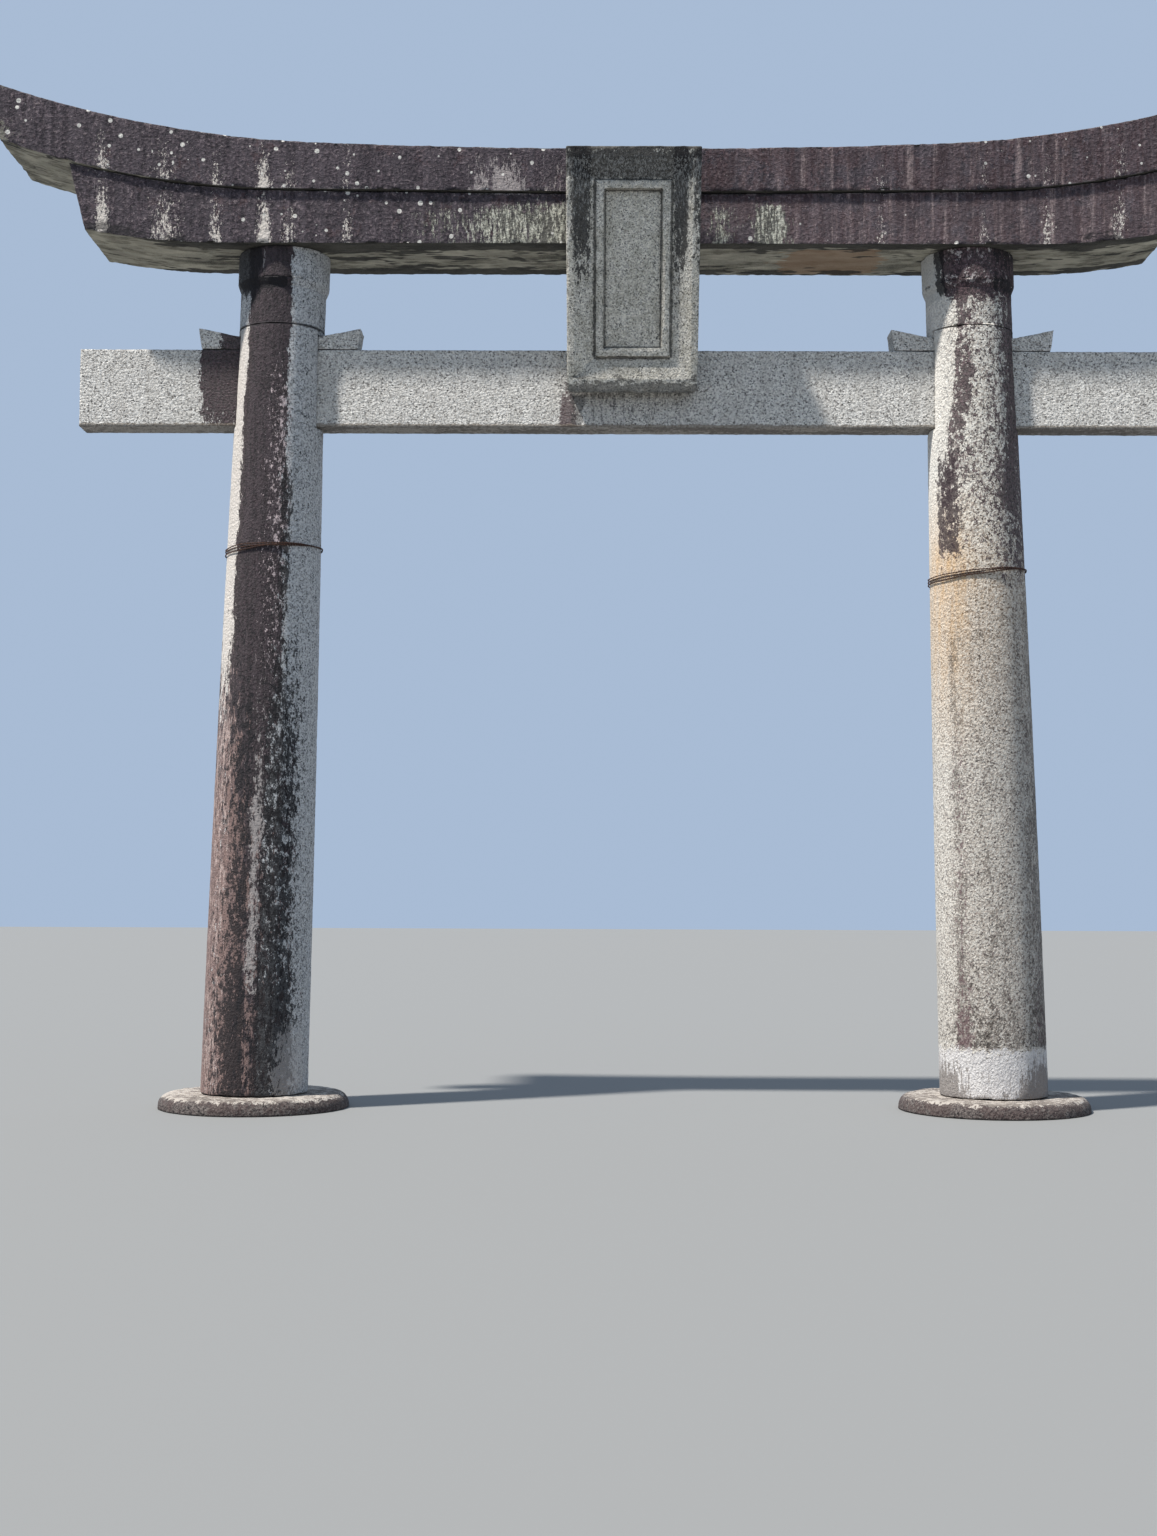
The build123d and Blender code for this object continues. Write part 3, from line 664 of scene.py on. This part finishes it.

    # Head: a maroon face with white spots, black drips at its sides, and painted shade in grey on its left
    head = stone.by_z([(5.86, 0), (5.98, 0.5), (6.06, 0.95), (6.35, 1.0)])
    # Painted shade: grey on the head's left, in the lintels' shadow
    painted_shade_head_left = read_off(stone, angle, [(-184, 1), (-40, 1), (-34, 0), (206, 0)])
    stone.patch("#a8a8a5", [painted_shade_head_left, head], size=0.03, bite=0.8, strength=0.5)
    face = around(0.3, [(-60, 0), (-38, 0.0), (-32, 0.8), (-20, 1.0), (30, 1.0), (50, 0.8), (90, 0.6)])
    stone.patch(growth, [face, head], size=0.035, bite=1.1, strength=0.97)
    spots = stone.by_z([(5.98, 0), (6.05, 0.25), (6.12, 0.42), (6.18, 0.28), (6.26, 0.3), (6.31, 0.42),
        (6.35, 0.4)])
    stone.patch("#c6bdb8", [face, spots], size=0.045, bite=1.1, strength=0.8)
    drips = around(0.2, [(-50, 0), (-40, 0.9), (-32, 0.85), (-25, 0.1), (24, 0.15), (36, 0.6), (60, 0.6)])
    collar = stone.by_z([(5.95, 0), (6.02, 0.5), (6.06, 1.0), (6.12, 1.0), (6.14, 0.7), (6.25, 0.8),
        (6.35, 1.1)])
    stone.patch("#141114", [drips, collar], size=0.035, bite=1.1, strength=0.9, down=2)
    return stone.done(roughness=0.92, height=pits, depth=0.018)


def tablet_granite():
    """Fine-tooled granite of the tablet: warm grey and even, black and scratched pale where rain stands."""
    stone = Finish("granite_fine_tooled_grey")
    add = stone.add
    nook = add("Attribute", {"attribute_name": "nook"}, "Fac")
    wear = add("Attribute", {"attribute_name": "wear"}, "Fac")
    pits = clouds(stone, 0.012, roughness=0.65)
    stone.colour = crystals(stone, 0.008, [(0, "#e6e0d2"), (0.36, "#cec8bc"), (0.64, "#ada9a0"),
        (0.88, "#827f78"), (0.96, "#504f4a")])
    stone.stain("#5a574f", stone.between(pits, 0.46, 0.3), 0.45)
    stone.patch("#857e68", [clouds(stone, 0.12, down=2)], size=0.04, bite=1.0, strength=0.3)
    stone.patch("#d3d1c8", [wear, clouds(stone, 0.1)], size=0.03, bite=1.2, strength=0.22)
    sides = stone.by_x([(-0.46, 0.28), (-0.42, 0.35), (-0.395, 0.68), (-0.34, 0.85), (-0.28, 0.7),
        (-0.25, 0.25), (-0.22, 0), (0.31, 0), (0.335, 0.5), (0.365, 0.8), (0.42, 0.8), (0.45, 0.42),
        (0.48, 0.35), (0.50, 0.6), (0.55, 0.6)])
    height_z = stone.by_z([(5.2, 0.1), (5.75, 0.25), (6.05, 0.5), (6.25, 0.8), (6.5, 1.0), (6.8, 1.05),
        (7.05, 1.1)])
    stone.patch("#1b1819", [sides, height_z], size=0.032, bite=1.25, strength=0.88, down=2.5)
    head = stone.by_z([(6.6, 0), (6.74, 0.15), (6.79, 1.0), (6.88, 1.05), (6.92, 0.75), (6.935, 0.6),
        (6.97, 0.95), (7.05, 0.95)])
    stone.patch("#171415", [head], size=0.028, bite=1.4, strength=0.88, down=2.2)
    scratches = stone.by_z([(6.2, 0), (6.5, 0.3), (6.78, 0.45), (6.88, 0.45), (6.93, 0.2), (7.05, 0.2)])
    stone.patch("#a5a49f", [scratches], size=0.012, bite=1.4, strength=0.6, down=6)

    # Painted shade on the slopes that face up or left and along the foot, where the key light falls; painted
    # shade and grime in the inner corners
    painted_shade_up_slope = stone.between(stone.facing["Z"], -0.16, -0.02)
    stone.stain("#4f4b42", painted_shade_up_slope, 0.24)
    painted_shade_left_slope = stone.between(stone.facing["X"], -0.12, -0.26)
    stone.stain("#54504a", painted_shade_left_slope, 0.12)
    # Painted shade along the tablet's foot
    painted_shade_foot = stone.by_z([(5.2, 1.0), (5.30, 0.9), (5.34, 0.5), (5.40, 0.35), (5.44, 0), (5.5, 0)])
    stone.patch("#2f2d2a", [painted_shade_foot], size=0.05, bite=1.1, strength=0.7, along=2)
    # Painted shade and grime in the inner corners
    stone.patch("#22211f", [nook], size=0.03, bite=2.2, strength=0.75)
    return stone.done(roughness=0.9, height=pits, depth=0.011)


def base_granite():
    """Footworn granite of the base stones: dusty and pale on top, reddish brown and rough at the lip."""
    stone = Finish("granite_worn_dusty")
    pits = clouds(stone, 0.022, detail=4, roughness=0.65)
    stone.colour = crystals(stone, 0.010, [(0, "#69615c"), (0.36, "#554d49"), (0.64, "#433b39"),
        (0.86, "#302a29"), (0.95, "#1d1b1a")])
    stone.patch("#443330", [clouds(stone, 0.2)], size=0.06, bite=1.0, strength=0.5)
    stone.stain("#24201e", stone.between(pits, 0.46, 0.3), 0.5)
    dusty = stone.by_z([(0.0, 0.4), (0.03, 0.08), (0.07, 0.08), (0.095, 0.4), (0.105, 0.75), (0.12, 0.75)])
    stone.patch("#8d8379", [dusty], size=0.07, bite=1.2, strength=0.55)
    stone.patch("#bfb6ab", [stone.top, clouds(stone, 0.5)], size=0.06, bite=1.3, strength=0.75)
    return stone.done(roughness=0.95, height=pits, depth=0.024)


def rusty_wire():
    """Drawn iron wire, rusted through: dull brown with orange powder, no metal left to shine."""
    iron = Finish("iron_drawn_rusted")
    flakes = clouds(iron, 0.006)
    iron.colour = iron.add("ValToRGB", {"stops": [(0.3, "#1c1310"), (0.5, "#36221a"), (0.7, "#6b4129")],
        "Fac": flakes})
    return iron.done(roughness=0.85, height=flakes, depth=0.001)


def set_attribute(stone, name, measure):
    """Store a number at every point of a stone for its material to read."""
    layer = stone.verts.layers.float.new(name)
    for vert in stone.verts:
        vert[layer] = measure(vert)


# Fold in radians from which an inner corner is darkened with painted shade and grime
NOOK_FOLD = -0.3


def in_nook(vert):
    """1 on an inner corner of the stone, else 0."""
    return float(any(edge.calc_face_angle_signed(0) < NOOK_FOLD for edge in vert.link_edges))


FINISHES = {"lintel": lintel_granite(), "tie": tie_granite(), "pillar_left": left_pillar_granite(),
            "pillar_right": right_pillar_granite(), "tablet": tablet_granite(), "base": base_granite(),
            "wire": rusty_wire()}


def add_lintels():
    """Both halves of both lintels, rough from the point chisel."""
    for node in ("kasagi_left", "kasagi_right", "shimaki_left", "shimaki_right"):
        stone = plain_stone(node)
        round_edges(stone, width=0.006)
        slice_stone(stone, cell=0.021)
        set_attribute(stone, "lintel_rise", lambda vert: vert.co.z - lintel_joint(vert.co.x))
        weather(stone, depth=0.0045, size=0.036, stretch=1.2, chip=0.008)
        show(stone, "rough_" + node, FINISHES["lintel"], "lintel_granite", node)


def add_tie_beam():
    """The three lengths of the tie beam, the wedges on it and the strut behind the tablet."""
    for node in ("tie_beam_left_end", "tie_beam_middle", "tie_beam_right_end"):
        stone = plain_stone(node)
        slice_stone(stone, cell=0.019)
        weather(stone, depth=0.0045, size=0.030, stretch=1.3)
        show(stone, "hammered_" + node, FINISHES["tie"], "tie_granite", node)
    for node in ("wedge_left_outer", "wedge_left_inner", "wedge_right_inner", "wedge_right_outer", "strut"):
        stone = plain_stone(node)
        round_edges(stone, width=0.006)
        slice_stone(stone, cell=0.016)
        weather(stone, depth=0.003, size=0.032, chip=0.004)
        show(stone, "hammered_" + node, FINISHES["tie"], "tie_granite", node)


def swell_shaft(stone, side):
    """Give the straight shaft its slight fullness at half height."""
    for vert in stone.verts:
        share = (vert.co.z - SHAFT_FOOT_Z) / (SHAFT_JOINT_Z - SHAFT_FOOT_Z)
        out = Vector((vert.co.x - pillar_axis(side, vert.co.z), vert.co.y, 0))
        vert.co += out.normalized() * 4 * SHAFT_SWELL * share * (1 - share)


# A shaft's level edges, rising by less than LEVEL_RISE, are halved if they are longer than SHAFT_CELL
SHAFT_CELL, LEVEL_RISE = 0.030, 0.004


def add_pillars():
    """Shafts and heads, finely pitted all round."""
    for name, side in SIDES.items():
        shaft = plain_stone("pillar_" + name)
        round_edges(shaft, width=0.008)
        slice_stone(shaft, cell=0.024, axes=(Z,))
        level = [edge for edge in shaft.edges if edge.calc_length() > SHAFT_CELL
                 and abs(edge.verts[0].co.z - edge.verts[1].co.z) < LEVEL_RISE]
        bmesh.ops.subdivide_edges(shaft, edges=level, cuts=1, use_grid_fill=True)
        swell_shaft(shaft, side)
        weather(shaft, depth=0.003, size=0.030, chip=0.006)
        show(shaft, "hammered_pillar_" + name, FINISHES["pillar_" + name], "pillar_granite", "pillar_" + name)
        head = plain_stone("pillar_head_" + name)
        round_edges(head, width=0.007)
        slice_stone(head, cell=0.020)
        weather(head, depth=0.0025, size=0.030, chip=0.005)
        show(head, "hammered_head_" + name, FINISHES["pillar_" + name], "pillar_granite",
            "pillar_head_" + name)


def add_tablet():
    """The leaning tablet, its frame worn round at the corners and its panel left bare."""
    stone = plain_stone("tablet")
    round_edges(stone, width=0.009)
    slice_stone(stone, cell=0.015)
    set_attribute(stone, "nook", in_nook)
    weather(stone, depth=0.0025, size=0.030, chip=0.008)
    show(stone, "carved_tablet", FINISHES["tablet"], "tablet_granite", "tablet")


# Base stone: its size, the rounding of its lip, and the rings and turns that carry its relief
BASE_RADIUS, BASE_HEIGHT = 0.700, 0.110
LIP_DEPTH, LIP_HEIGHT, LIP_STEPS = 0.080, 0.095, 8
TOP_RING, TOP_RINGS, BASE_TURNS = 0.022, 14, 180


def add_base_stones():
    """Low round stones with a rounded lip, spun from their profile and worn uneven."""
    for name in SIDES:
        low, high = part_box("base_stone_" + name)
        middle = Vector(((low.x + high.x) / 2, 0, 0))
        line = [Vector((0, 0, 0)), Vector((BASE_RADIUS, 0, 0))]
        for step in range(LIP_STEPS + 1):
            turn = pi / 2 * step / LIP_STEPS
            line.append(Vector((BASE_RADIUS - LIP_DEPTH * (1 - cos(turn)), 0,
                                BASE_HEIGHT - LIP_HEIGHT * (1 - sin(turn)))))
        flat = BASE_RADIUS - LIP_DEPTH
        line += [Vector((flat - TOP_RING * ring, 0, BASE_HEIGHT)) for ring in range(1, TOP_RINGS + 1)]
        line.append(Vector((0, 0, BASE_HEIGHT)))
        stone = bmesh.new()
        points = [stone.verts.new(place + middle) for place in line]
        edges = [stone.edges.new(pair) for pair in zip(points, points[1:])]
        bmesh.ops.spin(stone, geom=points + edges, cent=middle, axis=(0, 0, 1), angle=2 * pi,
                       steps=BASE_TURNS, use_merge=True)
        bmesh.ops.remove_doubles(stone, verts=stone.verts, dist=0.0005)
        bmesh.ops.recalc_face_normals(stone, faces=stone.faces)
        weather(stone, depth=0.007, size=0.09)
        show(stone, "worn_base_" + name, FINISHES["base"], "base_granite", "base_stone_" + name)


# Wire: each turn sinks by a share of WIRE_PITCH, more on the left of the pillar than on its right, and wavers
WIRE_TURNS, WIRE_PITCH, WIRE_RADIUS, WIRE_STAND_OFF = 3, 0.020, 0.0026, 0.0045
PITCH_SHARE, PITCH_SWING = 0.6, 0.5
WAVER_HEIGHT, WAVER_PACE = 0.012, 1.3
TWIST_PITCH, TWIST_STEPS = 0.040, 8
WIRE_LEVEL = {"left": 4.140, "right": 3.965}
WIRE_TILT = {"left": 0.004, "right": 0.024}


def add_wires():
    """Two strands of iron wire twisted together and wound three times round each shaft."""
    for name, side in SIDES.items():
        strands = bpy.data.curves.new("twisted_wire_" + name, "CURVE")
        strands.dimensions = "3D"
        strands.bevel_depth = WIRE_RADIUS
        strands.bevel_resolution = 1
        strands.use_fill_caps = True
        around = 2 * pi * shaft_radius(WIRE_LEVEL[name])
        steps = round(WIRE_TURNS * around / TWIST_PITCH * TWIST_STEPS)
        for strand in (0, pi):
            line = strands.splines.new("POLY")
            line.points.add(steps)
            for step, point in enumerate(line.points):
                angle = 2 * pi * WIRE_TURNS * step / steps
                twist = 2 * pi * step / TWIST_STEPS + strand
                level = WIRE_LEVEL[name] + WIRE_TILT[name] * cos(angle)
                level -= WIRE_PITCH * angle / (2 * pi) * (PITCH_SHARE - PITCH_SWING * cos(angle))
                waver = noise.noise(Vector((angle * WAVER_PACE, side, 0)))
                level += WAVER_HEIGHT * waver + WIRE_RADIUS * cos(twist)
                reach = shaft_radius(level) + WIRE_STAND_OFF + WIRE_RADIUS * (1 + sin(twist))
                point.co = (pillar_axis(side, level) + reach * cos(angle), reach * sin(angle), level, 1)
        strands.materials.append(FINISHES["wire"])
        piece = put("twisted_wire_" + name, strands)
        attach(piece, "root")
        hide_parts("wire_ring_" + name)


# Camera, fitted to the photograph
FOCAL_PIXELS = 2000.0
IMAGE_WIDTH = 1157
SENSOR_MM = 36.0
CAMERA_PLACE = Vector((-0.268, -14.852, 1.640))
CAMERA_YAW, CAMERA_PITCH, CAMERA_ROLL = radians(-0.285), radians(3.3465), radians(0.2217)


def add_camera():
    """Eye-level camera in front of the gate, looking slightly up."""
    data = bpy.data.cameras.new("camera")
    data.sensor_fit = "HORIZONTAL"
    data.sensor_width = SENSOR_MM
    data.lens = FOCAL_PIXELS * SENSOR_MM / IMAGE_WIDTH
    camera = put("camera", data)
    turn = (Matrix.Rotation(-CAMERA_YAW, 4, "Z") @ Matrix.Rotation(radians(90) + CAMERA_PITCH, 4, "X")
            @ Matrix.Rotation(CAMERA_ROLL, 4, "Z"))
    camera.matrix_world = Matrix.Translation(CAMERA_PLACE) @ turn
    bpy.context.scene.camera = camera


# Studio: a wide floor and one soft light, high up and well to the left of the front
FLOOR_REACH = 60
KEY_DIRECTION, KEY_COLOUR = Vector((0.52, 0.285, -1.0)), (1.0, 0.97, 0.93)
KEY_STRENGTH, KEY_SPREAD, AIR_STRENGTH = 6.6, radians(3), 0.70


def add_studio():
    """Grey floor, even pale surroundings and the key light."""
    floor_mesh = bmesh.new()
    bmesh.ops.create_grid(floor_mesh, x_segments=1, y_segments=1, size=FLOOR_REACH)
    data = bpy.data.meshes.new("floor")
    floor_mesh.to_mesh(data)
    floor_mesh.free()
    floor = put("floor", data)
    paper = bpy.data.materials.new("studio_floor")
    paper.use_nodes = True
    surface = paper.node_tree.nodes["Principled BSDF"].inputs
    surface["Base Color"].default_value = linear("#7b7b79")
    surface["Roughness"].default_value = 0.9
    data.materials.append(paper)
    lamp = bpy.data.lights.new("key", "SUN")
    lamp.energy = KEY_STRENGTH
    lamp.angle = KEY_SPREAD
    lamp.color = KEY_COLOUR
    key = put("key", lamp)
    key.rotation_euler = KEY_DIRECTION.to_track_quat("-Z", "Y").to_euler()
    world = bpy.data.worlds.new("surroundings")
    bpy.context.scene.world = world
    world.use_nodes = True
    air = world.node_tree.nodes["Background"].inputs
    air["Color"].default_value = linear("#c6dcf9")
    air["Strength"].default_value = AIR_STRENGTH
    bpy.context.scene.view_settings.view_transform = "Standard"


add_lintels()
add_tie_beam()
add_pillars()
add_tablet()
add_base_stones()
add_wires()
add_camera()
add_studio()
